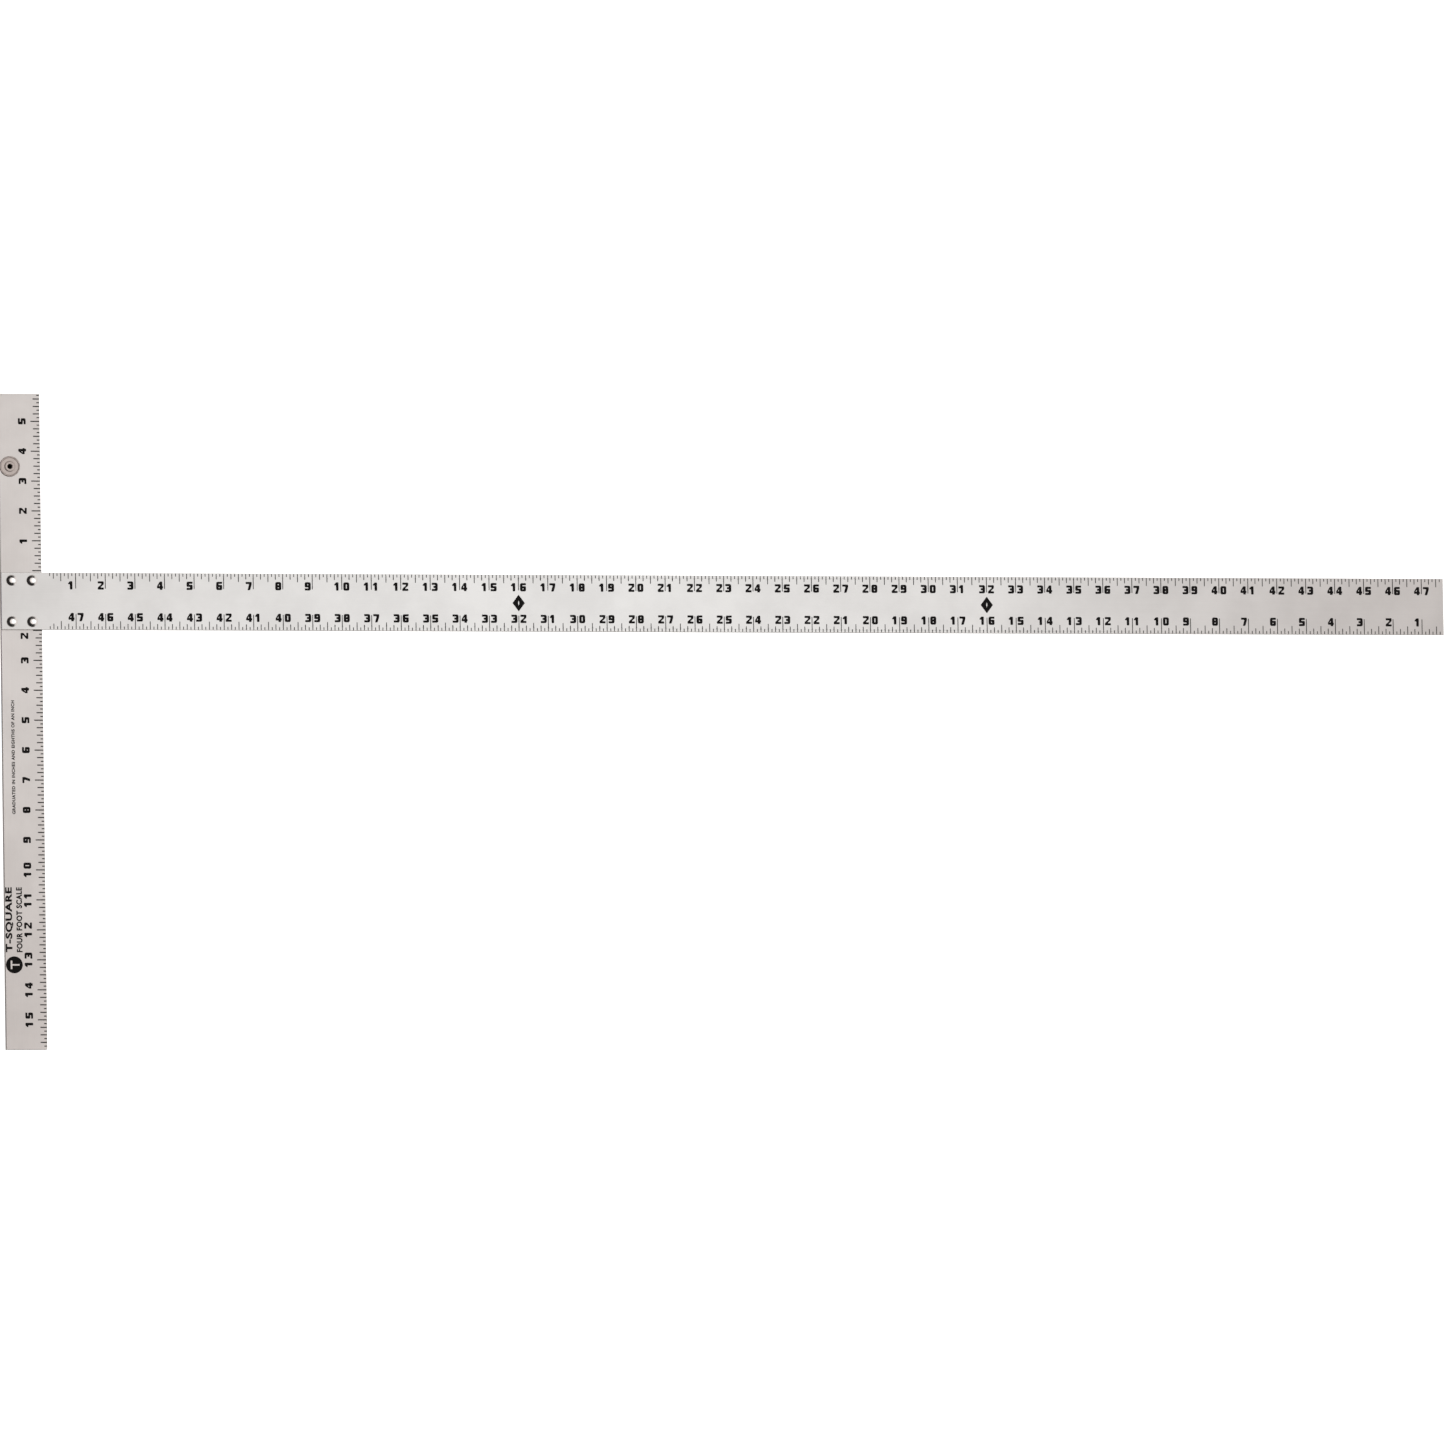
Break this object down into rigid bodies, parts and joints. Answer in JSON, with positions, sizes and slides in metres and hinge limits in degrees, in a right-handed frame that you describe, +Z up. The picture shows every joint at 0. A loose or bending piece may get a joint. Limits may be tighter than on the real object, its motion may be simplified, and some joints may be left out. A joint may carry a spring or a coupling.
{
  "type": "t square",
  "caption": "Long aluminium layout T-square: graduated flat blade riveted on an offset cross head, with inch scales, stud marks and a hanging hole.",
  "frame": {"origin": "on the head's resting face, where the centrelines of head and blade cross", "axes": "+X along the blade to its free end, +Y along the head's short arm, +Z up through the blade"},
  "size_m": [1.251, 0.5564, 0.0109],
  "materials": {
    "blade_aluminium": "satin anodised, fine lengthwise grain",
    "head_aluminium": "satin anodised, fine lengthwise grain",
    "rivet_metal": "polished",
    "eyelet_metal": "dull plated",
    "black_ink": "matt black print"
  },
  "bodies": {
    "root": {"blade": "blade_aluminium", "head": "head_aluminium", "rivet_outer_upper": "rivet_metal", "rivet_outer_lower": "rivet_metal", "rivet_inner_upper": "rivet_metal", "rivet_inner_lower": "rivet_metal", "hang_eyelet": "eyelet_metal", "blade_ticks_upper": "black_ink", "blade_ticks_lower": "black_ink", "blade_numerals_upper": "black_ink", "blade_numerals_lower": "black_ink", "head_ticks": "black_ink", "head_numerals": "black_ink", "stud_marks": "black_ink", "printed_panel": "black_ink"}
  },
  "joints": []
}
